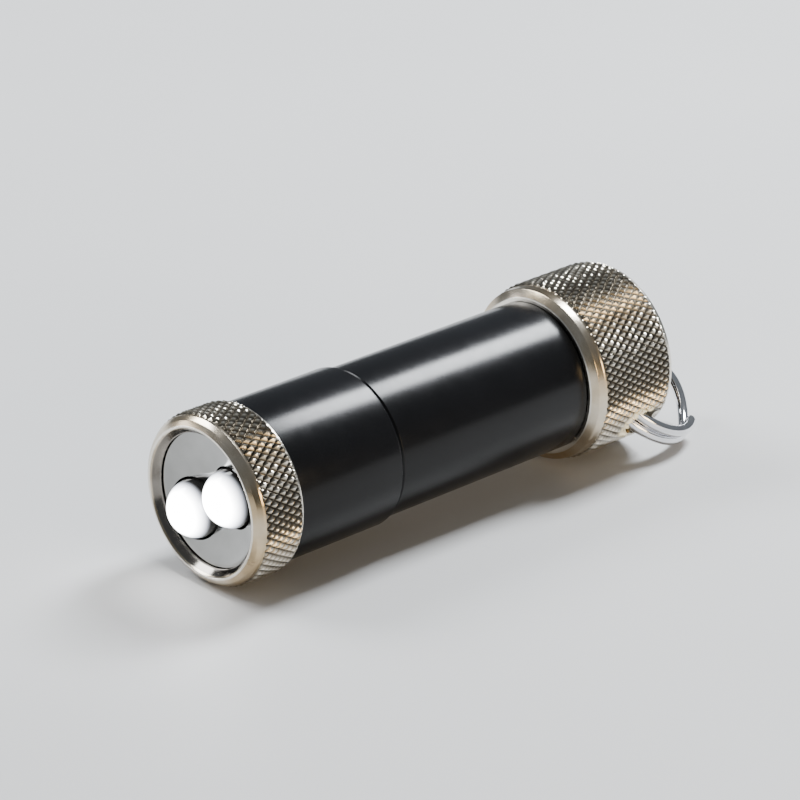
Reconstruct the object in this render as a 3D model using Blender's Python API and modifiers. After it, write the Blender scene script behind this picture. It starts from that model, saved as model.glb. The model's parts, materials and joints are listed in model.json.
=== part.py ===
"""Keychain flashlight: twin LED twist head, battery tube, tail cap and split key ring.

The torch is drawn standing on its tail: heights run up the torch's own axis from the
flat end face of the tail cap to the lamp. The parent empty then lays it on its side,
with the lamp looking along -X and the tail cap's knurl touching the plane Z = 0.
All sizes below are millimetres; MM turns them into Blender's metres.
"""
import math

import bmesh
import bpy
from mathutils import Matrix, Vector

MM = 0.001

# ---------------------------------------------------------------- driving dimensions
LENGTH = 45.0                 # tail face to the rim of the bezel
HEAD_RING_RADIUS = 7.15       # over the knurl of the bezel ring
HEAD_TUBE_RADIUS = 6.65
TUBE_RADIUS = 6.35            # battery tube
TAIL_RADIUS = 7.65            # over the knurl of the tail cap
GAP = 0.1                     # clearance between pieces that touch
EDGE = 0.15                   # small machined chamfer
TAIL_FACE_X = 19.5843         # puts X = 0 midway between the domes and the key ring

# bezel ring, with its dished lip round the reflector plate
RIM_OUTER = 6.2
RIM_INNER = 6.05
BROW_RADIUS = 6.62            # where the front's shoulder bends
BROW_DEPTH = 0.28
BAND_RADIUS = 6.9             # smooth band between shoulder and knurl
BAND_DEPTH = 0.65
KNURL_TOP = LENGTH - 0.8
KNURL_STEP = 0.15             # height over which the knurl rises from the band
BEZEL_BOTTOM = 40.3
BEZEL_CHAMFER = 0.25
WINDOW_RADIUS = 5.5           # opening that shows the reflector plate
LIP_TOP = LENGTH - 0.65
LIP_BOTTOM = LENGTH - 0.8
BEZEL_BORE = 6.45

# dished reflector plate and its seal
PLATE_RADIUS = BEZEL_BORE - GAP
PLATE_TOP = LIP_BOTTOM - GAP
PLATE_THICK = 1.6
DISH_RADIUS = 5.4             # the plate's front is a shallow dish
DISH_DEPTH = 0.85
DISH_POINTS = 6
SEAL_INNER = 5.85
SEAL_THICK = 0.5
PLATE_BOTTOM = PLATE_TOP - PLATE_THICK
SEAL_TOP = PLATE_BOTTOM - GAP
SEAL_BOTTOM = SEAL_TOP - SEAL_THICK

# twin LEDs
LED_RADIUS = 2.4
LED_PROUD = 1.75              # dome height above the reflector plate's rim
LED_LENGTH = 8.5
LED_OFFSET = 2.5              # from the pair's middle to each LED's own axis
FLANGE_RADIUS = 2.85
FLANGE_THICK = 1.0
FLANGE_FLAT = LED_OFFSET - GAP
LED_TOP = PLATE_TOP + LED_PROUD
LED_BOTTOM = LED_TOP - LED_LENGTH
LED_HOLE = LED_RADIUS + 2 * GAP
LED_TURN_DEG = -61.4          # how far the pair is turned from straight up
LED_DROP = 0.4                # the pair sits a little below the torch's axis
LEAD_PITCH = 2.54
LEAD_SIDE = 0.5
LEAD_LENGTH = 1.9
DOME_POINTS = 9

# holder, board and its parts
HOLDER_RADIUS = 5.65
HOLDER_TOP = SEAL_BOTTOM - GAP
HOLDER_BOTTOM = LED_BOTTOM + FLANGE_THICK + GAP
BOARD_RADIUS = 5.65
BOARD_TOP = LED_BOTTOM - GAP
BOARD_THICK = 1.0
BOARD_BOTTOM = BOARD_TOP - BOARD_THICK
LEAD_HOLE = 0.5
RESISTOR_SIZE = (2.0, 1.25, 0.5)
RESISTOR_OUT = 3.5            # from the axis to the resistor's middle

# head tube
SPIGOT_RADIUS = BEZEL_BORE - GAP
SPIGOT_TOP = SEAL_BOTTOM - GAP
HEAD_TOP = BEZEL_BOTTOM - GAP
HEAD_BOTTOM = 29.6
HEAD_BORE = HOLDER_RADIUS + GAP
BOARD_SEAT_TOP = BOARD_BOTTOM - GAP
BOARD_SEAT_BOTTOM = 34.9
BOARD_SEAT_RADIUS = 5.0
HEAD_THREAD_BORE = 5.45
GLAND_TOP = 31.4
GLAND_BOTTOM = 30.4
GLAND_RADIUS = 6.15
O_RING_CENTRE = 5.76
O_RING_SECTION = 0.33

# battery tube
NECK_RADIUS = 5.35
NECK_TOP = 34.6
SHOULDER = 29.5               # where the head tube seats
SLEEVE_BORE = 4.65
SLEEVE_SEAT = 18.4
SPRING_BORE = 4.2
SPRING_FLOOR = 10.4
CAP_FACE = 9.0                # front face of the tail cap
STUB_RADIUS = 5.9
STUB_BOTTOM = 6.2

# cells, sleeve, spring and front contact
CELL_RADIUS = 3.95
CELL_HEIGHT = 3.6
CELL_COUNT = 4
CELL_TOP = 34.1
CELL_PITCH = CELL_HEIGHT + GAP
CELL_CAP_RADIUS = 3.1
CELL_CAP_RISE = 0.25
CELL_ROUND = 0.2
SLEEVE_RADIUS = SLEEVE_BORE - GAP
SLEEVE_INNER = CELL_RADIUS + GAP
SLEEVE_TOP = NECK_TOP - GAP
SLEEVE_LIP = 2.6
CONTACT_RADIUS = 1.5
CONTACT_TIP = 1.0
CONTACT_BOTTOM = CELL_TOP + GAP
SPRING_RADIUS = 3.0
SPRING_WIRE = 0.3
SPRING_TURNS = 6.0
SPRING_POINTS_PER_TURN = 14
SPRING_DEAD_COIL = 0.66       # height that each closed end turn takes

# tail cap
CAP_BORE = STUB_RADIUS + GAP
CAP_FLOOR_TOP = STUB_BOTTOM - GAP
CAP_FACE_RADIUS = 6.65
COLLAR_RADIUS = 7.35
COLLAR_TOP = 8.55
CAP_KNURL_TOP = 7.75
CAP_KNURL_STEP = 0.25
CAP_CHAMFER = 0.4
RECESS_RADIUS = 5.9
RECESS_DEPTH = 5.2

# split key ring through the slanted hole in the recess's wall
RING_RADIUS = 5.2             # to the wire's centre line
RING_WIRE = 0.5
COIL_SPACING = 1.05           # between the two turns of the ring
RING_JOG_DEG = 30.0           # half of the stretch where one turn crosses to the other
RING_JOG_AT_DEG = 125.0
RING_STEP_DEG = 7.5
HOLE_HEIGHT = 2.95
HOLE_WALL_RADIUS = 6.75       # middle of the wall
HOLE_FROM_TOP_DEG = 123.5
HOLE_RADIUS = 1.35
RING_SLANT_DEG = 33.0
RING_HANG_DEG = 20.2
HOLE_REACH_IN = 1.95
HOLE_REACH_OUT = 3.0

OUTER_STEPS = 48
INNER_STEPS = 32
SMALL_STEPS = 24


# ---------------------------------------------------------------- scene helpers
def clear_scene():
    for obj in list(bpy.data.objects):
        bpy.data.objects.remove(obj, do_unlink=True)


def new_collection(name):
    collection = bpy.data.collections.new(name)
    bpy.context.scene.collection.children.link(collection)
    return collection


def make_material(name, colour, roughness, metallic=0.0):
    material = bpy.data.materials.new(name)
    material.use_nodes = True
    shader = material.node_tree.nodes["Principled BSDF"]
    shader.inputs["Base Color"].default_value = (*colour, 1.0)
    shader.inputs["Roughness"].default_value = roughness
    shader.inputs["Metallic"].default_value = metallic
    return material


def make_empty(name, parent=None, location=(0, 0, 0), rotation=(0, 0, 0)):
    empty = bpy.data.objects.new(name, None)
    empty.parent = parent
    empty.location = Vector(location) * MM
    empty.rotation_euler = rotation
    PARTS.objects.link(empty)
    return empty


def add_object(name, mesh, material, parent):
    obj = bpy.data.objects.new(name, mesh)
    obj.parent = parent
    mesh.materials.append(material)
    PARTS.objects.link(obj)
    return obj


def bake(obj):
    """Turn an object's curve or modifiers into its own mesh, smooth where it is round."""
    bpy.context.view_layer.update()
    graph = bpy.context.evaluated_depsgraph_get()
    mesh = bpy.data.meshes.new_from_object(obj.evaluated_get(graph))
    obj.modifiers.clear()
    obj.data = mesh
    mesh.shade_smooth()
    mesh.set_sharp_from_angle(angle=math.radians(35))


def turned(name, profile, material, parent, steps=OUTER_STEPS, closed=True):
    """Turn a profile of (radius, height) points, outer side first from top to bottom."""
    mesh = bpy.data.meshes.new(name)
    points = [(radius * MM, 0, height * MM) for radius, height in profile]
    edges = [(i, i + 1) for i in range(len(points) - 1)]
    if closed:
        edges.append((len(points) - 1, 0))
    mesh.from_pydata(points, edges, [])
    obj = add_object(name, mesh, material, parent)
    screw = obj.modifiers.new("turn", "SCREW")
    screw.angle = math.tau
    screw.steps = steps
    screw.render_steps = steps
    screw.use_merge_vertices = True
    screw.merge_threshold = 1e-6
    bake(obj)
    obj.rotation_euler = (0, 0, math.pi / steps)
    return obj


def make_cutter(name, mesh_maker, parent, location=(0, 0, 0), rotation=None):
    mesh = bpy.data.meshes.new(name)
    bm = bmesh.new()
    mesh_maker(bm)
    bm.to_mesh(mesh)
    bm.free()
    cutter = bpy.data.objects.new(name, mesh)
    cutter.parent = parent
    cutter.location = Vector(location) * MM
    if rotation is not None:
        cutter.rotation_euler = rotation.to_euler()
    cutter.hide_render = True
    cutter.display_type = "WIRE"
    CUTTERS.objects.link(cutter)
    return cutter


def rod(radius, length, steps=SMALL_STEPS):
    """A maker of a cylinder along Z, centred on its origin."""
    def maker(bm):
        bmesh.ops.create_cone(bm, cap_ends=True, segments=steps, radius1=radius * MM,
                              radius2=radius * MM, depth=length * MM)
    return maker


def block(size):
    """A maker of a box centred on its origin."""
    def maker(bm):
        bmesh.ops.create_cube(bm, size=1.0)
        bmesh.ops.scale(bm, vec=Vector(size) * MM, verts=bm.verts)
    return maker


def cut(obj, *cutters):
    for cutter in cutters:
        boolean = obj.modifiers.new(cutter.name, "BOOLEAN")
        boolean.operation = "DIFFERENCE"
        boolean.solver = "EXACT"
        boolean.object = cutter
    bake(obj)


def solid(name, mesh_maker, material, parent, location=(0, 0, 0)):
    mesh = bpy.data.meshes.new(name)
    bm = bmesh.new()
    mesh_maker(bm)
    bm.to_mesh(mesh)
    bm.free()
    obj = add_object(name, mesh, material, parent)
    obj.location = Vector(location) * MM
    return obj


def wire(name, points, radius, material, parent):
    """A round wire through points, with closed ends."""
    curve = bpy.data.curves.new(name, "CURVE")
    curve.dimensions = "3D"
    curve.bevel_depth = radius * MM
    curve.bevel_resolution = 2
    curve.use_fill_caps = True
    spline = curve.splines.new("POLY")
    spline.points.add(len(points) - 1)
    for point, place in zip(spline.points, points):
        point.co = (*(Vector(place) * MM), 1.0)
    return add_object(name, curve, material, parent)


# ---------------------------------------------------------------- head
def make_bezel_ring(material):
    profile = [
        (RIM_OUTER, LENGTH),
        (BROW_RADIUS, LENGTH - BROW_DEPTH),
        (BAND_RADIUS, LENGTH - BAND_DEPTH),
        (BAND_RADIUS, KNURL_TOP),
        (HEAD_RING_RADIUS, KNURL_TOP - KNURL_STEP),
        (HEAD_RING_RADIUS, BEZEL_BOTTOM + BEZEL_CHAMFER),
        (HEAD_RING_RADIUS - BEZEL_CHAMFER, BEZEL_BOTTOM),
        (BEZEL_BORE, BEZEL_BOTTOM),
        (BEZEL_BORE, LIP_BOTTOM),
        (WINDOW_RADIUS, LIP_BOTTOM),
        (WINDOW_RADIUS, LIP_TOP),
        (RIM_INNER, LENGTH),
    ]
    turned("bezel_ring", profile, material, TORCH)


def led_pair_cutters(name, radius, middle, height):
    """Two round cutters on the LEDs' own axes."""
    places = ((-LED_OFFSET, 0, middle), (LED_OFFSET, 0, middle))
    return [make_cutter(f"{name}_{side}", rod(radius, height, INNER_STEPS), LAMP, place)
            for side, place in zip(("left", "right"), places)]


def make_reflector_plate(material):
    profile = [(0, PLATE_TOP - DISH_DEPTH)]
    for i in range(1, DISH_POINTS + 1):
        share = i / DISH_POINTS
        profile.append((DISH_RADIUS * share, PLATE_TOP - DISH_DEPTH * (1 - share * share)))
    profile += [(PLATE_RADIUS, PLATE_TOP), (PLATE_RADIUS, PLATE_BOTTOM), (0, PLATE_BOTTOM)]
    plate = turned("reflector_plate", profile, material, TORCH, closed=False)
    middle = (PLATE_TOP + PLATE_BOTTOM) / 2
    cut(plate, *led_pair_cutters("plate_hole", LED_HOLE, middle, 2 * PLATE_THICK))


def make_plate_seal(material):
    profile = [(PLATE_RADIUS, SEAL_TOP), (PLATE_RADIUS, SEAL_BOTTOM),
               (SEAL_INNER, SEAL_BOTTOM), (SEAL_INNER, SEAL_TOP)]
    turned("plate_seal", profile, material, TORCH)


def make_led_holder(material):
    profile = [(0, HOLDER_TOP), (HOLDER_RADIUS, HOLDER_TOP), (HOLDER_RADIUS, HOLDER_BOTTOM),
               (0, HOLDER_BOTTOM)]
    holder = turned("led_holder", profile, material, TORCH, closed=False)
    height = HOLDER_TOP - HOLDER_BOTTOM
    middle = (HOLDER_TOP + HOLDER_BOTTOM) / 2
    cut(holder, *led_pair_cutters("holder_hole", LED_HOLE, middle, 2 * height))


def make_led(name, side, material):
    """One LED body: a dome on a round body, with a flange that is flat towards its twin."""
    dome_base = LED_TOP - LED_RADIUS
    profile = []
    for i in range(DOME_POINTS):
        angle = math.radians(90 * i / (DOME_POINTS - 1))
        profile.append((LED_RADIUS * math.sin(angle), dome_base + LED_RADIUS * math.cos(angle)))
    profile += [
        (LED_RADIUS, LED_BOTTOM + FLANGE_THICK),
        (FLANGE_RADIUS, LED_BOTTOM + FLANGE_THICK),
        (FLANGE_RADIUS, LED_BOTTOM),
        (0, LED_BOTTOM),
    ]
    led = turned(name, profile, material, LAMP, INNER_STEPS, closed=False)
    led.location = Vector((side * LED_OFFSET, 0, 0)) * MM
    width = FLANGE_RADIUS * 2
    centre = side * (LED_OFFSET - FLANGE_FLAT - width / 2)
    place = (centre, 0, LED_BOTTOM)
    flat = make_cutter(f"{name}_flat", block((width, 2 * width, 2 * width)), LAMP, place)
    cut(led, flat)


def lead_places():
    """Where the four leads stand, in the LED pair's own frame."""
    half = LEAD_PITCH / 2
    return [(x, y) for x in (-LED_OFFSET, LED_OFFSET) for y in (-half, half)]


def make_leads(material):
    middle = LED_BOTTOM - GAP / 2 - LEAD_LENGTH / 2
    for number, (x, y) in enumerate(lead_places(), start=1):
        shape = block((LEAD_SIDE, LEAD_SIDE, LEAD_LENGTH))
        solid(f"led_lead_{number}", shape, material, LAMP, (x, y, middle))


def make_led_board(material):
    profile = [(0, BOARD_TOP), (BOARD_RADIUS, BOARD_TOP), (BOARD_RADIUS, BOARD_BOTTOM),
               (0, BOARD_BOTTOM)]
    board = turned("led_board", profile, material, TORCH, closed=False)
    middle = (BOARD_TOP + BOARD_BOTTOM) / 2
    holes = [make_cutter(f"lead_hole_{i}", rod(LEAD_HOLE, 2 * BOARD_THICK, 12), LAMP,
                         (x, y, middle))
             for i, (x, y) in enumerate(lead_places())]
    cut(board, *holes)


def make_board_parts(brass, ceramic):
    profile = [
        (0, BOARD_SEAT_TOP),
        (CONTACT_RADIUS, BOARD_SEAT_TOP),
        (CONTACT_RADIUS, CONTACT_BOTTOM + CONTACT_RADIUS - CONTACT_TIP),
        (CONTACT_TIP, CONTACT_BOTTOM),
        (0, CONTACT_BOTTOM),
    ]
    turned("positive_contact", profile, brass, TORCH, SMALL_STEPS, closed=False)
    middle = BOARD_SEAT_TOP - RESISTOR_SIZE[2] / 2
    solid("resistor", block(RESISTOR_SIZE), ceramic, LAMP, (RESISTOR_OUT + GAP, 0, middle))


def make_head_tube(material):
    profile = [
        (SPIGOT_RADIUS - EDGE, SPIGOT_TOP),
        (SPIGOT_RADIUS, SPIGOT_TOP - EDGE),
        (SPIGOT_RADIUS, HEAD_TOP),
        (HEAD_TUBE_RADIUS, HEAD_TOP),
        (HEAD_TUBE_RADIUS, HEAD_BOTTOM + EDGE),
        (HEAD_TUBE_RADIUS - EDGE, HEAD_BOTTOM),
        (HEAD_THREAD_BORE, HEAD_BOTTOM),
        (HEAD_THREAD_BORE, GLAND_BOTTOM),
        (GLAND_RADIUS, GLAND_BOTTOM),
        (GLAND_RADIUS, GLAND_TOP),
        (HEAD_THREAD_BORE, GLAND_TOP),
        (HEAD_THREAD_BORE, BOARD_SEAT_BOTTOM),
        (BOARD_SEAT_RADIUS, BOARD_SEAT_BOTTOM),
        (BOARD_SEAT_RADIUS, BOARD_SEAT_TOP),
        (HEAD_BORE, BOARD_SEAT_TOP),
        (HEAD_BORE, SPIGOT_TOP),
    ]
    turned("head_tube", profile, material, TORCH)


def make_head_seal(material):
    bpy.ops.mesh.primitive_torus_add(major_radius=O_RING_CENTRE * MM,
                                     minor_radius=O_RING_SECTION * MM,
                                     major_segments=INNER_STEPS, minor_segments=8)
    seal = bpy.context.active_object
    seal.name = "head_seal"
    for collection in list(seal.users_collection):
        collection.objects.unlink(seal)
    PARTS.objects.link(seal)
    seal.parent = TORCH
    seal.location = (0, 0, (GLAND_TOP + GLAND_BOTTOM) / 2 * MM)
    seal.data.materials.append(material)
    seal.data.shade_smooth()


# ---------------------------------------------------------------- battery body
def make_battery_tube(material):
    profile = [
        (NECK_RADIUS - EDGE, NECK_TOP),
        (NECK_RADIUS, NECK_TOP - EDGE),
        (NECK_RADIUS, SHOULDER),
        (TUBE_RADIUS - EDGE, SHOULDER),
        (TUBE_RADIUS, SHOULDER - EDGE),
        (TUBE_RADIUS, CAP_FACE + GAP),
        (STUB_RADIUS, CAP_FACE + GAP),
        (STUB_RADIUS, STUB_BOTTOM),
        (0, STUB_BOTTOM),
        (0, SPRING_FLOOR),
        (SPRING_BORE, SPRING_FLOOR),
        (SPRING_BORE, SLEEVE_SEAT),
        (SLEEVE_BORE, SLEEVE_SEAT),
        (SLEEVE_BORE, NECK_TOP),
    ]
    turned("battery_tube", profile, material, TORCH)


def make_battery_sleeve(material):
    profile = [
        (SLEEVE_RADIUS, SLEEVE_TOP),
        (SLEEVE_RADIUS, SLEEVE_SEAT + GAP),
        (SLEEVE_INNER, SLEEVE_SEAT + GAP),
        (SLEEVE_INNER, CELL_TOP + GAP),
        (SLEEVE_LIP, CELL_TOP + GAP),
        (SLEEVE_LIP, SLEEVE_TOP),
    ]
    turned("battery_sleeve", profile, material, TORCH, INNER_STEPS)


def make_cells(material):
    """Button cells with the can to the lamp and the smaller cap to the spring."""
    for number in range(1, CELL_COUNT + 1):
        top = CELL_TOP - (number - 1) * CELL_PITCH
        bottom = top - CELL_HEIGHT
        can_bottom = bottom + CELL_CAP_RISE
        profile = [
            (0, top),
            (CELL_RADIUS - CELL_ROUND, top),
            (CELL_RADIUS, top - CELL_ROUND),
            (CELL_RADIUS, can_bottom + CELL_ROUND),
            (CELL_RADIUS - CELL_ROUND, can_bottom),
            (CELL_CAP_RADIUS, can_bottom),
            (CELL_CAP_RADIUS, bottom),
            (0, bottom),
        ]
        turned(f"button_cell_{number}", profile, material, TORCH, INNER_STEPS, closed=False)


def spring_points():
    """Centre line of a coil spring with one closed turn at each end."""
    bottom = SPRING_FLOOR + GAP + SPRING_WIRE
    top = CELL_TOP - CELL_COUNT * CELL_PITCH - SPRING_WIRE
    active = top - bottom - 2 * SPRING_DEAD_COIL
    count = round(SPRING_TURNS * SPRING_POINTS_PER_TURN)
    points = []
    for i in range(count + 1):
        turn = i / SPRING_POINTS_PER_TURN
        middle = min(max(turn - 1, 0), SPRING_TURNS - 2) / (SPRING_TURNS - 2)
        ends = min(turn, 1) + max(turn - SPRING_TURNS + 1, 0)
        height = bottom + SPRING_DEAD_COIL * ends + active * middle
        angle = math.tau * turn
        points.append((SPRING_RADIUS * math.cos(angle), SPRING_RADIUS * math.sin(angle), height))
    return points


def make_tail_cap(material):
    profile = [
        (0, CAP_FLOOR_TOP),
        (CAP_BORE, CAP_FLOOR_TOP),
        (CAP_BORE, CAP_FACE),
        (CAP_FACE_RADIUS, CAP_FACE),
        (COLLAR_RADIUS, COLLAR_TOP),
        (COLLAR_RADIUS, CAP_KNURL_TOP),
        (TAIL_RADIUS, CAP_KNURL_TOP - CAP_KNURL_STEP),
        (TAIL_RADIUS, CAP_CHAMFER),
        (TAIL_RADIUS - CAP_CHAMFER, 0),
        (RECESS_RADIUS, 0),
        (RECESS_RADIUS, RECESS_DEPTH),
        (0, RECESS_DEPTH),
    ]
    cap = turned("tail_cap", profile, material, TORCH, closed=False)
    along, _, _ = ring_frame().transposed()
    reach = HOLE_REACH_IN + HOLE_REACH_OUT
    centre = hole_place() + along * (HOLE_REACH_OUT - HOLE_REACH_IN) / 2
    turn = along.to_track_quat("Z", "Y")
    hole = make_cutter("ring_hole", rod(HOLE_RADIUS, reach), TORCH, centre, turn)
    cut(cap, hole)


# ---------------------------------------------------------------- key ring
def hole_place():
    """Middle of the hole in the tail cap's wall."""
    angle = math.radians(HOLE_FROM_TOP_DEG)
    outward = Vector((math.cos(angle), -math.sin(angle), 0))
    return outward * HOLE_WALL_RADIUS + Vector((0, 0, HOLE_HEIGHT))


def ring_frame():
    """The ring's own axes as columns: along the wire in the hole, to the centre, normal."""
    angle = math.radians(HOLE_FROM_TOP_DEG)
    hang = math.radians(RING_HANG_DEG)
    slant = math.radians(RING_SLANT_DEG)
    outward = Vector((math.cos(angle), -math.sin(angle), 0))
    downhill = Vector((-math.sin(angle), -math.cos(angle), 0))
    aft = Vector((0, 0, -1))
    away = math.cos(hang) * aft + math.sin(hang) * downhill
    along = math.cos(slant) * outward + math.sin(slant) * away
    centre = -math.sin(slant) * outward + math.cos(slant) * away
    return Matrix((along, centre, along.cross(centre))).transposed()


def ring_points():
    """Two flat turns side by side, joined by a short crossing, through the origin."""
    half_gap = COIL_SPACING / 2
    span = 360 - 2 * RING_JOG_DEG
    first = RING_JOG_AT_DEG + RING_JOG_DEG
    count = round((span + 360) / RING_STEP_DEG)
    points = []
    for i in range(count + 1):
        degrees = i * RING_STEP_DEG
        crossing = min(max((degrees - span) / (2 * RING_JOG_DEG), 0), 1)
        ease = crossing * crossing * (3 - 2 * crossing)
        angle = math.radians(first + degrees - 90)
        x = RING_RADIUS * math.cos(angle)
        y = RING_RADIUS * (1 + math.sin(angle))
        points.append((x, y, COIL_SPACING * ease - half_gap))
    return points


def make_key_ring(material):
    ring = wire("key_ring", ring_points(), RING_WIRE, material, TORCH)
    ring.location = hole_place() * MM
    ring.rotation_euler = ring_frame().to_euler()


# ---------------------------------------------------------------- build
clear_scene()
PARTS = new_collection("keychain_flashlight")
CUTTERS = new_collection("cutters")

AXIS_HEIGHT = TAIL_RADIUS * math.cos(math.pi / OUTER_STEPS)
TORCH = make_empty("torch_axis", None, (TAIL_FACE_X, 0, AXIS_HEIGHT), (0, -math.pi / 2, 0))
LAMP = make_empty("lamp_frame", TORCH, (-LED_DROP, 0, 0), (0, 0, math.radians(LED_TURN_DEG)))

steel = make_material("polished_silver", (0.78, 0.77, 0.74), 0.22, 1.0)
anodised = make_material("black_anodised", (0.012, 0.012, 0.014), 0.28, 0.6)
mirror = make_material("mirror_plate", (0.85, 0.85, 0.84), 0.04, 1.0)
epoxy = make_material("clear_epoxy", (0.95, 0.97, 1.0), 0.05)
rubber = make_material("black_rubber", (0.02, 0.02, 0.02), 0.7)
plastic = make_material("black_plastic", (0.03, 0.03, 0.03), 0.5)
laminate = make_material("circuit_board", (0.02, 0.18, 0.08), 0.45)
tin = make_material("tinned_wire", (0.72, 0.72, 0.70), 0.3, 1.0)
brass = make_material("brass", (0.80, 0.60, 0.28), 0.3, 1.0)
ceramic = make_material("chip_ceramic", (0.06, 0.06, 0.06), 0.4)
nickel = make_material("nickel_can", (0.70, 0.69, 0.66), 0.25, 1.0)
spring_steel = make_material("spring_steel", (0.55, 0.55, 0.55), 0.3, 1.0)
chrome = make_material("chrome_wire", (0.80, 0.80, 0.82), 0.12, 1.0)

make_bezel_ring(steel)
make_reflector_plate(mirror)
make_plate_seal(rubber)
make_led_holder(plastic)
make_led("led_left", -1, epoxy)
make_led("led_right", 1, epoxy)
make_leads(tin)
make_led_board(laminate)
make_board_parts(brass, ceramic)
make_head_tube(anodised)
make_head_seal(rubber)

make_battery_tube(anodised)
make_battery_sleeve(plastic)
make_cells(nickel)
wire("contact_spring", spring_points(), SPRING_WIRE, spring_steel, TORCH)
make_tail_cap(steel)
make_key_ring(chrome)
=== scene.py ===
"""Looks of the keychain flashlight: knurled metal, threads, lit LEDs, split ring, studio."""
import json
import math

import bmesh
import bpy
import numpy as np
from mathutils import Matrix, Vector


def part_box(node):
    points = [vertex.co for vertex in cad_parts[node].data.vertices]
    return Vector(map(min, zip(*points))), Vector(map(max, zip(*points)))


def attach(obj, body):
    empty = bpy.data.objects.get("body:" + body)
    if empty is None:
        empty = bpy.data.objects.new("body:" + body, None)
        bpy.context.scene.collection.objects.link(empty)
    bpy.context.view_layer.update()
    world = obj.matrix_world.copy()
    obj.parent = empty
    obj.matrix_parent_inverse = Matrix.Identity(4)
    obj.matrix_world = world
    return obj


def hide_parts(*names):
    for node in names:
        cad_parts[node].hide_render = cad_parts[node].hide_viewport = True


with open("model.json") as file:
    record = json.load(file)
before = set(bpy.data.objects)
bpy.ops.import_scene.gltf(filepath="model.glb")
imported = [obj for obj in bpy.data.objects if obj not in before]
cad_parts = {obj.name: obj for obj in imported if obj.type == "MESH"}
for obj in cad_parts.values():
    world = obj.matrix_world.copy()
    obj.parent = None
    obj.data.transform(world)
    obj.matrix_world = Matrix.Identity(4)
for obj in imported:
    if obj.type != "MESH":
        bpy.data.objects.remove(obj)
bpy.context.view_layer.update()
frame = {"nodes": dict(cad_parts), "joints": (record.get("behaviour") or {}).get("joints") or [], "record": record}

MM = 0.001
TAU = math.tau
MERGE_GAP = 1e-7

# ------------------------------------------------------------- places taken from the frame
BEZEL_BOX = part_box("bezel_ring")
TAIL_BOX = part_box("tail_cap")
TAIL_X = TAIL_BOX[1].x
AXIS_Z = (BEZEL_BOX[0].z + BEZEL_BOX[1].z) / 2
JOINTS = {joint["name"]: joint for joint in frame["joints"]}
MOUNTS = {mount["name"]: mount for mount in frame["record"]["mounts"]}

# Pieces are drawn standing on the tail, in millimetres: heights run from the tail's end
# face to the lamp. TORCH lays them on their side where the frame has them.
TORCH = Matrix.Translation((TAIL_X, 0, AXIS_Z)) @ Matrix.Rotation(-math.pi / 2, 4, "Y")
LENGTH = 45.0
LED_OFFSET = 2.5
LED_RADIUS = 2.4
LED_TOP = (TAIL_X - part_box("led_left")[0].x) / MM - 0.001
LED_DROP = 0.4
LED_TURN = math.radians(-61.4)
LAMP = TORCH @ Matrix.Translation((-LED_DROP * MM, 0, 0)) @ Matrix.Rotation(LED_TURN, 4, "Z")

BEZEL_DIAMONDS = 64
TAIL_DIAMONDS = 70
DIAMOND_LENGTH = 1.05
KNURL_SPLITS = 6
BEZEL_ROOT, BEZEL_CREST = 6.92, 7.145
TAIL_ROOT, TAIL_CREST = 7.40, 7.63


# ------------------------------------------------------------- mesh tools
def polar(radius, angle, height):
    return (radius * math.cos(angle), radius * math.sin(angle), height)


def fillet(points, closed=True):
    """Round the corners of a profile of (radius, height, rounding) points."""
    result = []
    count = len(points)
    for i, (r, z, *rest) in enumerate(points):
        rounding = rest[0] if rest else 0.0
        inner = closed or 0 < i < count - 1
        if not rounding or not inner:
            result.append((r, z))
            continue
        here = Vector((r, z))
        back = Vector(points[i - 1][:2]) - here
        ahead = Vector(points[(i + 1) % count][:2]) - here
        half = back.angle(ahead) / 2
        reach = min(rounding / math.tan(half), back.length * 0.49, ahead.length * 0.49)
        start = here + back.normalized() * reach
        end = here + ahead.normalized() * reach
        for step in range(5):
            t = step / 4
            spot = start * (1 - t) ** 2 + here * 2 * t * (1 - t) + end * t ** 2
            result.append((spot.x, spot.y))
    return result


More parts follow.
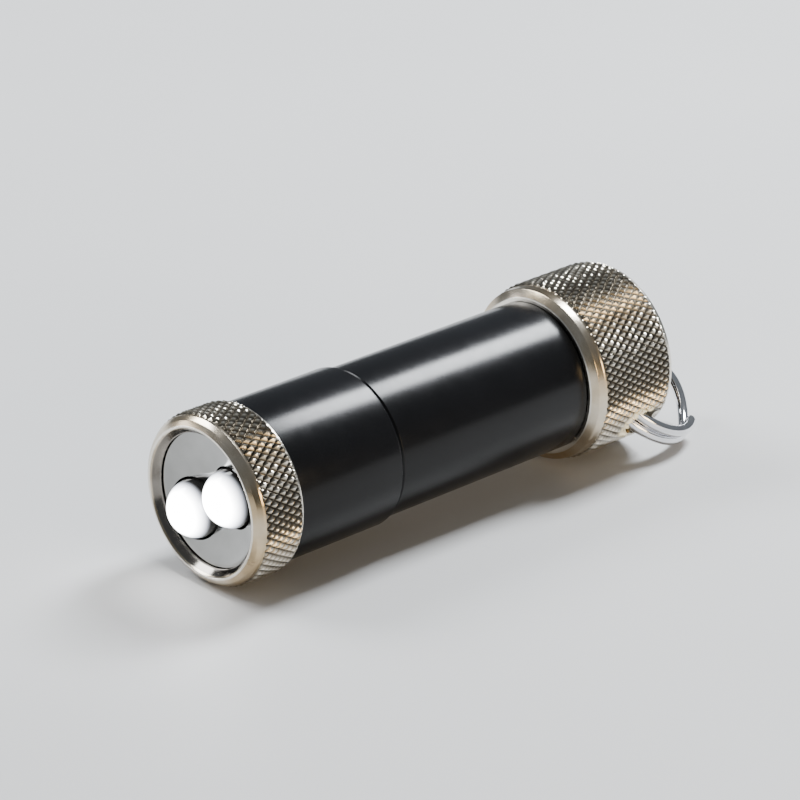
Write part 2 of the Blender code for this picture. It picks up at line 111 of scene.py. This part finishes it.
class Turning:
    """Builds a turned piece ring by ring, down its outside and back up its bore."""

    def __init__(self, steps):
        self.steps = steps
        self.points = []
        self.faces = []
        self.last = None
        self.first = None

    def ring(self, radii, heights, shift=0.0):
        start = len(self.points)
        for i in range(self.steps):
            angle = TAU * (i + shift) / self.steps
            r = radii if np.isscalar(radii) else radii[i]
            z = heights if np.isscalar(heights) else heights[i]
            self.points.append(polar(r, angle, z))
        return start

    def pole(self, height):
        self.points.append((0.0, 0.0, height))
        return -len(self.points)

    def join(self, above, below):
        """Quads between two rings, or triangles to a pole (a negative mark)."""
        for i in range(self.steps):
            j = (i + 1) % self.steps
            if above < 0:
                self.faces.append((-above - 1, below + i, below + j))
            elif below < 0:
                self.faces.append((above + i, -below - 1, above + j))
            else:
                self.faces.append((above + i, below + i, below + j, above + j))

    def add(self, mark):
        if self.last is not None:
            self.join(self.last, mark)
        if self.first is None:
            self.first = mark
        self.last = mark

    def profile(self, points):
        for r, z in points:
            self.add(self.pole(z) if r < 1e-6 else self.ring(r, z))

    def surface(self, rows):
        """Rings given as (radii, heights)."""
        for radii, heights in rows:
            self.add(self.ring(radii, heights))

    def knurl(self, rows):
        """A diamond lattice: every second ring is turned by half a step.

        Faces that a pyramid's ridge crosses are split along the ridge.
        """
        marks = [self.ring(radii, z, 0.5 * (j % 2)) for j, (radii, z) in enumerate(rows)]
        n = self.steps
        if self.last is not None:
            self.join(self.last, marks[0])
        if self.first is None:
            self.first = marks[0]
        for j, mark in enumerate(marks):
            odd = j % 2
            for i in range(n):
                k = (i + 1) % n
                between = k if odd else i
                left = mark + i
                right = mark + k
                if j == 0:
                    self.faces.append((left, marks[1] + between, right))
                elif j == len(marks) - 1:
                    self.faces.append((marks[j - 1] + between, left, right))
                else:
                    top = marks[j - 1] + between
                    bottom = marks[j + 1] + between
                    if j % KNURL_SPLITS == 0:
                        self.faces += [(top, left, right), (left, bottom, right)]
                    elif (2 * i + odd + 1) % KNURL_SPLITS == 0:
                        self.faces += [(top, left, bottom), (top, bottom, right)]
                    else:
                        self.faces.append((top, left, bottom, right))
        self.last = marks[-1]

    def finish(self, name, closed=True):
        if closed:
            self.join(self.last, self.first)
        mesh = bpy.data.meshes.new(name)
        mesh.from_pydata([tuple(c * MM for c in p) for p in self.points], [], self.faces)
        mesh.validate()
        return mesh


def place(name, mesh, material, body, matrix=TORCH, sharp_deg=32):
    mesh.shade_smooth()
    mesh.set_sharp_from_angle(angle=math.radians(sharp_deg))
    mesh.materials.clear()
    mesh.materials.append(material)
    obj = bpy.data.objects.new(name, mesh)
    bpy.context.scene.collection.objects.link(obj)
    obj.matrix_world = matrix
    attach(obj, body)
    return obj


def turned(name, points, steps, material, body, closed=True, matrix=TORCH):
    turning = Turning(steps)
    turning.profile(fillet(points, closed))
    return place(name, turning.finish(name, closed), material, body, matrix)


def knurl_rows(around, top, bottom, root, crest, seed):
    """Rows of radii for a diamond knurl with blunt tips, cut down at both ends."""
    rng = np.random.default_rng(seed)
    steps = around * KNURL_SPLITS
    count = 2 * round((top - bottom) * KNURL_SPLITS / DIAMOND_LENGTH)
    tips = rng.uniform(0.86, 1.0, (2 * around, count // KNURL_SPLITS + 3))
    rows = []
    for j in range(count + 1):
        z = top + (bottom - top) * j / count
        k = 2 * np.arange(steps) + (j % 2)
        u = (k + j) / (2 * KNURL_SPLITS)
        v = (k - j) / (2 * KNURL_SPLITS)
        du = np.abs(u - np.round(u))
        dv = np.abs(v - np.round(v))
        cell = (np.floor(u) + np.floor(v)).astype(int) % (2 * around)
        row_of_cell = (np.floor(u) - np.floor(v)).astype(int) % tips.shape[1]
        height = np.minimum(tips[cell, row_of_cell], np.minimum(du, dv) * 2.1)
        radii = root + (crest - root) * height
        end = min(top - z, z - bottom)
        radii = np.minimum(np.minimum(radii, crest), root + 0.8 * end)
        rows.append((radii, z))
    return rows


def boolean_cut(obj, mesh, matrix):
    """Cut a closed mesh out of obj and keep obj's own material."""
    cutter = bpy.data.objects.new(mesh.name, mesh)
    cutter.matrix_world = matrix
    bpy.context.scene.collection.objects.link(cutter)
    modifier = obj.modifiers.new("cut", "BOOLEAN")
    modifier.operation = "DIFFERENCE"
    modifier.solver = "EXACT"
    modifier.object = cutter
    bpy.context.view_layer.update()
    graph = bpy.context.evaluated_depsgraph_get()
    result = bpy.data.meshes.new_from_object(obj.evaluated_get(graph))
    obj.modifiers.clear()
    obj.data = result
    result.shade_smooth()
    result.set_sharp_from_angle(angle=math.radians(32))
    bpy.data.objects.remove(cutter)


# ------------------------------------------------------------- material tools
class Nodes:
    """A short way to write a node material."""

    def __init__(self, name):
        self.material = bpy.data.materials.new(name)
        self.material.use_nodes = True
        self.tree = self.material.node_tree
        self.shader = self.tree.nodes["Principled BSDF"]

    def node(self, kind, **settings):
        made = self.tree.nodes.new(kind)
        for key, value in settings.items():
            setattr(made, key, value)
        return made

    def link(self, source, target):
        self.tree.links.new(source, target)

    def set(self, **values):
        for key, value in values.items():
            self.shader.inputs[key.replace("_", " ")].default_value = value

    def feed(self, socket, value):
        if isinstance(value, bpy.types.NodeSocket):
            self.link(value, socket)
        else:
            socket.default_value = value

    def math(self, operation, *values):
        made = self.node("ShaderNodeMath", operation=operation)
        for socket, value in zip(made.inputs, values):
            self.feed(socket, value)
        return made.outputs[0]

    def position(self):
        return self.node("ShaderNodeTexCoord").outputs["Object"]

    def noise(self, scale, detail=4.0):
        made = self.node("ShaderNodeTexNoise")
        made.inputs["Scale"].default_value = scale
        made.inputs["Detail"].default_value = detail
        made.inputs["Roughness"].default_value = 0.55
        self.link(self.position(), made.inputs["Vector"])
        return made.outputs["Fac"]

    def ramp(self, value, stops):
        made = self.node("ShaderNodeValToRGB")
        ramp = made.color_ramp
        while len(ramp.elements) < len(stops):
            ramp.elements.new(0.5)
        for element, (place_at, colour) in zip(ramp.elements, stops):
            element.position = place_at
            element.color = (*colour, 1.0)
        self.feed(made.inputs["Fac"], value)
        return made.outputs["Color"]

    def spread(self, value, low, high, from_low=0.0, from_high=1.0):
        made = self.node("ShaderNodeMapRange")
        self.feed(made.inputs["Value"], value)
        made.inputs["From Min"].default_value = from_low
        made.inputs["From Max"].default_value = from_high
        made.inputs["To Min"].default_value = low
        made.inputs["To Max"].default_value = high
        return made.outputs["Result"]

    def blend(self, kind, amount, a, b):
        made = self.node("ShaderNodeMix", data_type="RGBA", blend_type=kind)
        self.feed(made.inputs[0], amount)
        self.feed(made.inputs[6], a if isinstance(a, bpy.types.NodeSocket) else (*a, 1.0))
        self.feed(made.inputs[7], b if isinstance(b, bpy.types.NodeSocket) else (*b, 1.0))
        return made.outputs[2]

    def axes(self):
        parts = self.node("ShaderNodeSeparateXYZ")
        self.link(self.position(), parts.inputs[0])
        return parts.outputs

    def radius(self):
        x, y, _ = self.axes()
        return self.math("SQRT", self.math("ADD", self.math("MULTIPLY", x, x),
                                           self.math("MULTIPLY", y, y)))

    def turning_marks(self, scale):
        """Fine rings left by the lathe, on round and flat faces alike."""
        z = self.axes()[2]
        radius = self.radius()
        made = self.node("ShaderNodeTexNoise", noise_dimensions="1D")
        made.inputs["Scale"].default_value = scale
        made.inputs["Detail"].default_value = 3.0
        self.link(self.math("ADD", z, radius), made.inputs["W"])
        return made.outputs["Fac"]

    def bump(self, height, distance, strength=1.0, normal=None):
        made = self.node("ShaderNodeBump")
        made.inputs["Strength"].default_value = strength
        made.inputs["Distance"].default_value = distance
        self.feed(made.inputs["Height"], height)
        if normal is not None:
            self.link(normal, made.inputs["Normal"])
        return made.outputs["Normal"]

    def colour(self, socket):
        self.link(socket, self.shader.inputs["Base Color"])

    def roughness(self, socket):
        self.link(socket, self.shader.inputs["Roughness"])

    def normal(self, socket):
        self.link(socket, self.shader.inputs["Normal"])


def silver_metal(name, grooves, polish_and_painted_reflection=None, painted_shade_radius=None):
    """Bright turned metal with a warm tint, and painted shade darkening the knurl's grooves.

    grooves: the knurl's root and crest radii, the heights that it spans, and the height up to
    which the smooth collar next to it is darker and golden, as painted shade and a painted warm reflection.
    polished: a spot and a reach round it where the metal is smoother, and bright and golden as a painted
    reflection.
    smoked: an inner radius inside which the turned bevel is dark, as painted shade.
    """
    n = Nodes(name)
    n.set(Metallic=1.0)
    tint = n.ramp(n.noise(900, 3), [(0.3, (0.70, 0.655, 0.57)), (0.7, (0.84, 0.80, 0.72))])
    root, crest, low, high, edge = (value * MM for value in grooves)
    rise = n.spread(n.radius(), 0.0, 1.0, root, crest)
    along = n.axes()[2]
    inside = n.math("MULTIPLY", n.math("GREATER_THAN", along, low),
                    n.math("LESS_THAN", along, high))
    collar = n.math("MULTIPLY", n.math("GREATER_THAN", along, high),
                    n.math("LESS_THAN", along, edge))
    # The smooth collar beside the knurl is darkened and turned golden: painted shade and a painted warm
    # reflection.
    painted_warm_reflection = n.spread(n.noise(150, 2), 0.45, 1.0, 0.40, 0.62)
    tint = n.blend("MULTIPLY", n.math("MULTIPLY", painted_warm_reflection, collar), tint, (0.62, 0.505, 0.345))
    # The knurl is darkened from crest to root: painted shade in its grooves.
    tint = n.blend("MULTIPLY", inside, tint, n.ramp(
        rise, [(0.05, (0.10, 0.09, 0.075)), (0.5, (0.55, 0.52, 0.47)), (0.85, (1.0, 1.0, 1.0))]))
    rough = n.spread(n.noise(420, 5), 0.14, 0.28, 0.3, 0.7)
    if polish_and_painted_reflection is not None:
        spot, reach = polish_and_painted_reflection
        apart = n.node("ShaderNodeVectorMath", operation="DISTANCE")
        n.link(n.position(), apart.inputs[0])
        apart.inputs[1].default_value = spot
        polish_and_reflection_spot = n.spread(apart.outputs["Value"], 1.0, 0.0, reach * 0.8, reach)
        # Round the hole the colour is painted bright and golden: a painted reflection; the lower roughness is real
        # polish.
        tint = n.blend("MIX", polish_and_reflection_spot, tint, (0.92, 0.78, 0.50))
        rough = n.math("MULTIPLY", rough, n.spread(polish_and_reflection_spot, 1.0, 0.45))
    if painted_shade_radius is not None:
        outward = n.math("SUBTRACT", n.radius(), painted_shade_radius)
        bevel = n.spread(outward, 1.0, 0.0, -0.08 * MM, 0.0)
        # Inside this radius the bevel's colour is painted dark: painted shade.
        tint = n.blend("MIX", bevel, tint, (0.20, 0.185, 0.165))
        rough = n.math("MULTIPLY", rough, n.spread(bevel, 1.0, 0.6))
    n.colour(tint)
    n.roughness(rough)
    lines = n.bump(n.turning_marks(26000), 0.000004, 0.35)
    n.normal(n.bump(n.noise(2600, 2), 0.000008, 0.3, lines))
    return n.material


def black_anodised(name):
    n = Nodes(name)
    n.set(Metallic=0.0, Specular_IOR_Level=0.20)
    n.colour(n.ramp(n.noise(160, 4), [(0.3, (0.0045, 0.0048, 0.0055)),
                                      (0.7, (0.0062, 0.0066, 0.0078))]))
    n.roughness(n.spread(n.noise(900, 6), 0.20, 0.24, 0.3, 0.7))
    lines = n.bump(n.turning_marks(14000), 0.000003, 0.3)
    n.normal(n.bump(n.noise(5200, 2), 0.000003, 0.2, lines))
    return n.material


def mirror_plate(name):
    """A dark chromed dish with faint turning marks and a thin haze."""
    n = Nodes(name)
    n.set(Metallic=1.0)
    n.colour(n.ramp(n.noise(300, 3), [(0.3, (0.25, 0.25, 0.24)), (0.7, (0.31, 0.31, 0.30))]))
    haze = n.spread(n.noise(700, 5), 0.03, 0.09, 0.35, 0.7)
    waves = n.math("SINE", n.math("MULTIPLY", n.radius(), 16000.0))
    n.roughness(n.math("ADD", haze, n.spread(waves, -0.012, 0.012, -1.0, 1.0)))
    n.normal(n.bump(n.noise(150, 2), 0.00001, 0.12))
    return n.material


def lit_lens(name):
    """A lit 5 mm LED: white where the dome faces forward, falling off down its side; the darkening of its base
    colour down the side is painted shade.
    """
    n = Nodes(name)
    n.set(Coat_Weight=1.0, Coat_Roughness=0.03)
    rise = n.spread(n.axes()[2], 0.0, 1.0, (LENGTH - 1.05) * MM, (LENGTH + 0.30) * MM)
    body = n.ramp(n.noise(200, 2), [(0.3, (0.62, 0.64, 0.66)), (0.7, (0.72, 0.74, 0.76))])
    # The base colour falls to near black down the dome's side: painted shade.
    shade = n.ramp(rise, [(0.0, (0.05, 0.045, 0.04)), (0.2, (0.09, 0.08, 0.07)),
                          (0.9, (1.0, 1.0, 1.0))])
    n.colour(n.blend("MULTIPLY", 1.0, body, shade))
    n.set(Roughness=0.12)
    glow = n.math("POWER", rise, 2.2)
    n.link(n.ramp(glow, [(0.0, (0.80, 0.84, 0.95)), (0.6, (1.0, 1.0, 1.0))]),
           n.shader.inputs["Emission Color"])
    n.link(n.math("MULTIPLY", glow, 24.0), n.shader.inputs["Emission Strength"])
    return n.material


def plain_polymer(name, dark, light, rough_low, rough_high, grain):
    n = Nodes(name)
    n.colour(n.ramp(n.noise(350, 5), [(0.3, dark), (0.7, light)]))
    n.roughness(n.spread(n.noise(900, 4), rough_low, rough_high, 0.3, 0.7))
    n.normal(n.bump(n.noise(grain, 3), 0.00001, 0.4))
    return n.material


def plain_metal(name, dark, light, rough_low, rough_high, marks=9000):
    n = Nodes(name)
    n.set(Metallic=1.0)
    n.colour(n.ramp(n.noise(400, 4), [(0.3, dark), (0.7, light)]))
    n.roughness(n.spread(n.noise(1200, 5), rough_low, rough_high, 0.3, 0.7))
    n.normal(n.bump(n.turning_marks(marks), 0.000004, 0.3))
    return n.material


def circuit_board(name):
    """Green solder mask with copper tracks under it."""
    n = Nodes(name)
    n.set(Coat_Weight=0.4, Coat_Roughness=0.2)
    cells = n.node("ShaderNodeTexVoronoi", feature="DISTANCE_TO_EDGE")
    cells.inputs["Scale"].default_value = 520.0
    n.link(n.position(), cells.inputs["Vector"])
    tracks = n.spread(cells.outputs["Distance"], 1.0, 0.0, 0.05, 0.08)
    n.colour(n.blend("MIX", tracks, (0.012, 0.12, 0.05), (0.03, 0.20, 0.075)))
    n.roughness(n.spread(n.noise(900, 4), 0.3, 0.5, 0.3, 0.7))
    n.normal(n.bump(tracks, 0.00003, 0.4))
    return n.material


HOLE_SPOT = TORCH.inverted() @ Vector(JOINTS["ring_swing"]["pos_m"])
HOLE_SPOT += Vector((HOLE_SPOT.x, HOLE_SPOT.y, 0)).normalized() * 0.0007
SILVER_BEZEL = silver_metal("silver_bezel", (BEZEL_ROOT, BEZEL_CREST, 40.6, 44.15, 44.96),
                            painted_shade_radius=6.0 * MM)
SILVER_TAIL = silver_metal("silver_tail", (TAIL_ROOT, TAIL_CREST, 0.5, 7.75, 8.94),
                           polish_and_painted_reflection=(HOLE_SPOT, 2.1 * MM))
BLACK = black_anodised("black_anodised_tube")
MIRROR = mirror_plate("mirror_plate_finish")
LENS = lit_lens("lit_lens")
RUBBER = plain_polymer("seal_rubber", (0.012, 0.012, 0.012), (0.03, 0.03, 0.03), 0.55, 0.75, 4000)
PLASTIC = plain_polymer("moulded_black", (0.02, 0.02, 0.02), (0.04, 0.04, 0.042), 0.4, 0.55, 3000)
CERAMIC = plain_polymer("chip_body", (0.03, 0.03, 0.035), (0.08, 0.08, 0.085), 0.35, 0.5, 5000)
BOARD = circuit_board("board_mask")
TIN = plain_metal("tinned_leads", (0.60, 0.60, 0.58), (0.78, 0.78, 0.76), 0.22, 0.4)
BRASS = plain_metal("turned_brass", (0.70, 0.50, 0.20), (0.86, 0.67, 0.34), 0.18, 0.32)
NICKEL = plain_metal("nickel_can", (0.62, 0.61, 0.58), (0.76, 0.75, 0.72), 0.18, 0.34)
SPRING = plain_metal("spring_wire", (0.45, 0.45, 0.46), (0.62, 0.62, 0.63), 0.2, 0.36)
CHROME = plain_metal("chrome_ring", (0.74, 0.74, 0.76), (0.84, 0.84, 0.86), 0.06, 0.15, 22000)

CAD_MATERIALS = {
    "plate_seal": RUBBER, "led_holder": PLASTIC,
    "led_lead_1": TIN, "led_lead_2": TIN, "led_lead_3": TIN, "led_lead_4": TIN,
    "led_board": BOARD, "resistor": CERAMIC, "positive_contact": BRASS, "head_seal": RUBBER,
    "battery_sleeve": PLASTIC, "button_cell_1": NICKEL, "button_cell_2": NICKEL,
    "button_cell_3": NICKEL, "button_cell_4": NICKEL, "contact_spring": SPRING,
}
for node_name, finish in CAD_MATERIALS.items():
    node = frame["nodes"][node_name]
    node.data.materials.clear()
    node.data.materials.append(finish)


# ------------------------------------------------------------- bezel ring
def make_bezel():
    top = LENGTH - 0.80
    bottom = 40.50
    rows = knurl_rows(BEZEL_DIAMONDS, top, bottom, BEZEL_ROOT, BEZEL_CREST, 11)
    turning = Turning(BEZEL_DIAMONDS * KNURL_SPLITS)
    turning.profile(fillet([
        (6.05, LENGTH - 0.03),
        (6.09, LENGTH, 0.03),
        (6.20, LENGTH - 0.01, 0.06),
        (6.62, LENGTH - 0.28, 0.30),
        (6.90, LENGTH - 0.64, 0.06),
        (6.91, top + 0.03),
    ], closed=False))
    turning.knurl(rows)
    turning.profile(fillet([
        (6.82, 40.46),
        (6.80, 40.32, 0.05),
        (6.74, 40.30, 0.02),
        (6.46, 40.30),
        (6.46, LENGTH - 0.80),
        (5.53, LENGTH - 0.80, 0.02),
        (5.50, LENGTH - 0.70, 0.03),
        (5.58, LENGTH - 0.66, 0.05),
        (5.97, LENGTH - 0.12, 0.06),
    ], closed=False))
    piece = place("bezel_knurled", turning.finish("bezel_knurled"), SILVER_BEZEL, "head",
                  sharp_deg=28)
    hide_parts("bezel_ring")


# ------------------------------------------------------------- tubes
def make_head_tube():
    piece = turned("head_tube_turned", [
        (6.2, 41.8, 0.03),
        (6.35, 41.65, 0.03),
        (6.35, 40.2),
        (6.64, 40.2, 0.03),
        (6.64, 29.85, 0.05),
        (6.44, 29.6, 0.03),
        (5.45, 29.6, 0.02),
        (5.45, 30.4),
        (6.15, 30.4),
        (6.15, 31.4),
        (5.45, 31.4),
        (5.45, 34.9),
        (5.0, 34.9),
        (5.0, 35.65),
        (5.75, 35.65),
        (5.75, 41.8),
    ], 256, BLACK, "head")
    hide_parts("head_tube")


def thread_rows(steps, top, bottom, pitch, root, crest):
    """Rows of radii for a right-hand thread that fades in and out."""
    angles = TAU * np.arange(steps) / steps
    count = round((top - bottom) / 0.05)
    rows = []
    for j in range(count + 1):
        z = top + (bottom - top) * j / count
        phase = (z / pitch - angles / TAU) % 1.0
        ridge = np.clip(1.6 * (1 - np.abs(2 * phase - 1)) - 0.3, 0, 1)
        fade = min(1.0, (top - z) / 0.35, (z - bottom) / 0.5)
        rows.append((root + (crest - root) * ridge * max(fade, 0.0), z))
    return rows


def make_battery_tube():
    turning = Turning(224)
    turning.profile(fillet([
        (4.65, 34.6),
        (4.95, 34.6, 0.04),
        (5.05, 34.5),
    ], closed=False))
    turning.surface(thread_rows(224, 34.45, 31.7, 0.6, 5.05, 5.34))
    turning.profile(fillet([
        (5.05, 31.65),
        (5.34, 31.45, 0.05),
        (5.34, 29.5, 0.05),
        (6.16, 29.5, 0.03),
        (6.34, 29.3, 0.05),
        (6.34, 9.1, 0.02),
        (5.9, 9.1),
        (5.9, 6.2),
        (0.0, 6.2),
    ], closed=False))
    turning.last = None
    turning.profile(fillet([
        (0.0, 10.4),
        (4.2, 10.4),
        (4.2, 18.4),
        (4.65, 18.4),
    ], closed=False))
    turning.join(turning.last, turning.first)
    piece = place("battery_tube_turned", turning.finish("battery_tube_turned", False), BLACK,
                  "battery_body")
    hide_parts("battery_tube")


# ------------------------------------------------------------- tail cap
RING_PIVOT = Vector(JOINTS["ring_swing"]["pos_m"])
RING_ALONG = Vector(JOINTS["ring_swing"]["axis"]).normalized()
RING_NORMAL = Vector(MOUNTS["key_loop"]["axis"]).normalized()
RING_INWARD = RING_NORMAL.cross(RING_ALONG).normalized()
RING_FRAME = Matrix.Translation(RING_PIVOT) @ Matrix(
    (RING_ALONG, RING_INWARD, RING_NORMAL)).transposed().to_4x4()
HOLE_FRAME = Matrix.Translation(RING_PIVOT) @ Matrix(
    (RING_INWARD, RING_NORMAL, RING_ALONG)).transposed().to_4x4()


def make_tail_cap():
    top = 7.8
    bottom = 0.42
    rows = knurl_rows(TAIL_DIAMONDS, top, bottom, TAIL_ROOT, TAIL_CREST, 23)
    turning = Turning(TAIL_DIAMONDS * KNURL_SPLITS)
    turning.profile(fillet([
        (6.02, 9.0, 0.02),
        (6.63, 9.0, 0.03),
        (7.31, 8.56, 0.10),
        (7.36, 7.95, 0.05),
        (7.38, 7.83),
    ], closed=False))
    turning.knurl(rows)
    turning.profile(fillet([
        (7.30, 0.38),
        (7.24, 0.05, 0.06),
        (7.12, 0.0, 0.04),
        (5.98, 0.0, 0.05),
        (5.9, 0.12, 0.03),
        (5.9, 5.2, 0.15),
        (0.0, 5.2),
    ], closed=False))
    turning.last = None
    turning.profile([(0.0, 6.1), (6.0, 6.1)])
    turning.join(turning.last, turning.first)
    piece = place("tail_cap_knurled", turning.finish("tail_cap_knurled", False), SILVER_TAIL,
                  "battery_body", sharp_deg=28)
    cutter = Turning(64)
    cutter.profile([(0.0, 3.2), (2.45, 3.2), (1.75, 0.98), (1.35, 0.72), (1.35, -1.2),
                    (1.6, -1.9), (0.0, -1.9)])
    boolean_cut(piece, cutter.finish("hole_cutter", False), HOLE_FRAME)
    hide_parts("tail_cap")


# ------------------------------------------------------------- reflector and LEDs
def make_reflector():
    """A shallow mirror dish with a close, straight-walled hole cut round each LED."""
    top = LENGTH - 0.9
    turning = Turning(128)
    dish = [(5.4 * share, top - 0.85 * (1 - share * share)) for share in np.linspace(0, 1, 25)]
    turning.profile(dish + fillet([(5.46, top), (6.34, top, 0.04), (6.34, top - 1.6, 0.04),
                                   (0.0, top - 1.6)], closed=False))
    piece = place("reflector_dish", turning.finish("reflector_dish", False), MIRROR, "head",
                  sharp_deg=25)
    for side in (-1, 1):
        offset = Matrix.Translation((side * LED_OFFSET * MM, 0, 0))
        cutter = Turning(96)
        cutter.profile([(0.0, top + 0.5), (2.56, top + 0.5), (2.56, top - 2.0),
                        (0.0, top - 2.0)])
        boolean_cut(piece, cutter.finish("lamp_hole", False), LAMP @ offset)
    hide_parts("reflector_plate")


def make_led(name, side):
    """A lens with a full dome, a flange and a flat towards its twin."""
    top = LED_TOP
    radius = LED_RADIUS
    dome = [(radius * math.sin(a), top - radius + radius * math.cos(a))
            for a in np.linspace(0, math.pi / 2, 28)]
    bottom = top - 8.5
    rest = fillet([(radius, top - radius - 0.1), (radius, bottom + 1.0, 0.05),
                   (2.84, bottom + 1.0, 0.08), (2.84, bottom, 0.08), (0.0, bottom)],
                  closed=False)
    turning = Turning(96)
    turning.profile(dome + rest)
    offset = Matrix.Translation((side * LED_OFFSET * MM, 0, 0))
    mesh = turning.finish(name, False)
    limit = 2.395 * MM
    for vertex in mesh.vertices:
        if -side * vertex.co.x > limit:
            vertex.co.x = -side * limit
    bm = bmesh.new()
    bm.from_mesh(mesh)
    bmesh.ops.remove_doubles(bm, verts=bm.verts, dist=MERGE_GAP)
    bm.to_mesh(mesh)
    bm.free()
    return place(name, mesh, LENS, "head", LAMP @ offset)


def make_leds():
    for side, name in ((-1, "led_left"), (1, "led_right")):
        lens = make_led(name + "_lens", side)
        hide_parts(name)


# ------------------------------------------------------------- key ring
def ring_line(points_per_turn=128):
    """The split ring's centre line in its own frame, as in the frame's key_ring node."""
    radius, spacing, jog, jog_at = 5.2, 1.05, 30.0, 125.0
    span = 360 - 2 * jog
    total = span + 360
    count = round(total / 360 * points_per_turn)
    for i in range(count + 1):
        degrees = total * i / count
        crossing = min(max((degrees - span) / (2 * jog), 0), 1)
        ease = crossing * crossing * (3 - 2 * crossing)
        angle = math.radians(jog_at + jog + degrees - 90)
        out = Vector((math.cos(angle), math.sin(angle), 0))
        centre = Vector((0, radius, spacing * (ease - 0.5)))
        yield centre + out * radius, out


def make_key_ring():
    section = []
    half, rounding = 0.465, 0.43
    for corner in range(4):
        middle = Vector((half - rounding, 0)) if corner in (0, 3) else Vector((rounding - half, 0))
        middle.y = half - rounding if corner in (0, 1) else rounding - half
        for step in range(6):
            angle = math.radians(90 * corner + 18 * step)
            section.append(middle + Vector((math.cos(angle), math.sin(angle))) * rounding)
    points = []
    faces = []
    n = len(section)
    line = list(ring_line())
    last = len(line) - 1
    for i, (spot, out) in enumerate(line):
        worn = 1.0 if 0 < i < last else 0.8
        for side in section:
            points.append(spot + out * side.x * worn + Vector((0, 0, side.y * worn)))
        if i:
            a = (i - 1) * n
            b = i * n
            for k in range(n):
                m = (k + 1) % n
                faces.append((a + k, a + m, b + m, b + k))
    faces.append(tuple(reversed(range(n))))
    faces.append(tuple(range(last * n, last * n + n)))
    mesh = bpy.data.meshes.new("split_ring")
    mesh.from_pydata([tuple(p * MM) for p in points], [], faces)
    bm = bmesh.new()
    bm.from_mesh(mesh)
    bmesh.ops.recalc_face_normals(bm, faces=bm.faces)
    bm.to_mesh(mesh)
    bm.free()
    mesh.transform(RING_FRAME)
    piece = place("split_ring", mesh, CHROME, "ring", Matrix(), 50)
    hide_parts("key_ring")


# ------------------------------------------------------------- floor, light and camera
FLOOR_GAP = 0.02 * MM
SKY_LIGHT = 0.20
SKY_SEEN = 0.62


def make_floor():
    """A pale surface, tipped a little so that both knurled rings rest on it."""
    tail_edge = Vector((TAIL_X - 7.85 * MM, 0, TAIL_BOX[0].z))
    front_edge = Vector((BEZEL_BOX[0].x + 1.0 * MM, 0, AXIS_Z - 7.145 * MM))
    slope = math.atan2(front_edge.z - tail_edge.z, tail_edge.x - front_edge.x)
    n = Nodes("pale_floor")
    n.colour(n.ramp(n.noise(14, 3), [(0.3, (0.60, 0.60, 0.60)), (0.7, (0.63, 0.63, 0.63))]))
    n.set(Roughness=0.55)
    n.normal(n.bump(n.noise(700, 3), 0.00005, 0.12))
    mesh = bpy.data.meshes.new("floor")
    bm = bmesh.new()
    bmesh.ops.create_circle(bm, cap_ends=True, segments=96, radius=0.55)
    bm.to_mesh(mesh)
    bm.free()
    mesh.materials.append(n.material)
    floor = bpy.data.objects.new("floor", mesh)
    bpy.context.scene.collection.objects.link(floor)
    floor.location = tail_edge - Vector((0, 0, FLOOR_GAP))
    floor.rotation_euler = (0, slope, 0)


def aim(obj, target):
    direction = Vector(target) - obj.location
    obj.rotation_euler = direction.to_track_quat("-Z", "Y").to_euler()


def area_light(name, location, target, size, power, colour):
    data = bpy.data.lights.new(name, "AREA")
    data.shape = "RECTANGLE"
    data.size, data.size_y = size
    data.energy = power
    data.color = colour
    light = bpy.data.objects.new(name, data)
    bpy.context.scene.collection.objects.link(light)
    light.location = location
    aim(light, target)


def make_light():
    centre = (0, 0, AXIS_Z)
    area_light("overhead", (0.28, 0.02, 0.34), centre, (0.13, 0.18), 4.6, (0.92, 0.96, 1.0))
    area_light("back", (-0.16, 0.31, 0.31), centre, (0.20, 0.16), 2.0, (0.94, 0.97, 1.0))
    area_light("front", (-0.30, 0.33, 0.08), centre, (0.30, 0.12), 0.5, (0.98, 0.98, 1.0))
    area_light("warm", (0.05, -0.42, 0.10), centre, (0.20, 0.12), 0.8, (1.0, 0.76, 0.46))
    world = bpy.data.worlds.new("studio")
    world.use_nodes = True
    tree = world.node_tree
    back = tree.nodes["Background"]
    back.inputs["Color"].default_value = (0.87, 0.93, 1.0, 1.0)
    path = tree.nodes.new("ShaderNodeLightPath")
    strength = tree.nodes.new("ShaderNodeMapRange")
    strength.inputs["To Min"].default_value = SKY_LIGHT
    strength.inputs["To Max"].default_value = SKY_SEEN
    tree.links.new(path.outputs["Is Camera Ray"], strength.inputs["Value"])
    tree.links.new(strength.outputs["Result"], back.inputs["Strength"])
    bpy.context.scene.world = world


def make_camera():
    """Seen from above, with the lamp towards the left."""
    turn = math.radians(42.8)
    down = math.radians(24.1)
    right = Vector((math.cos(turn), -math.sin(turn), 0))
    away = Vector((math.sin(turn), math.cos(turn), 0))
    forward = away * math.cos(down) - Vector((0, 0, math.sin(down)))
    up = Vector((0, 0, math.cos(down))) + away * math.sin(down)
    lamp = Vector((TAIL_X - (LENGTH - 0.77) * MM, 0, AXIS_Z))
    data = bpy.data.cameras.new("camera")
    data.lens = 180
    data.sensor_width = 36
    data.clip_start = 0.01
    data.clip_end = 20
    camera = bpy.data.objects.new("camera", data)
    bpy.context.scene.collection.objects.link(camera)
    camera.location = lamp + (right * 14.86 + up * 7.76 - forward * 308.4) * MM
    rotation = Matrix((right, up, -forward)).transposed()
    camera.rotation_euler = rotation.to_euler()
    bpy.context.scene.camera = camera


make_bezel()
make_head_tube()
make_battery_tube()
make_tail_cap()
make_reflector()
make_leds()
make_key_ring()
make_floor()
make_light()
make_camera()
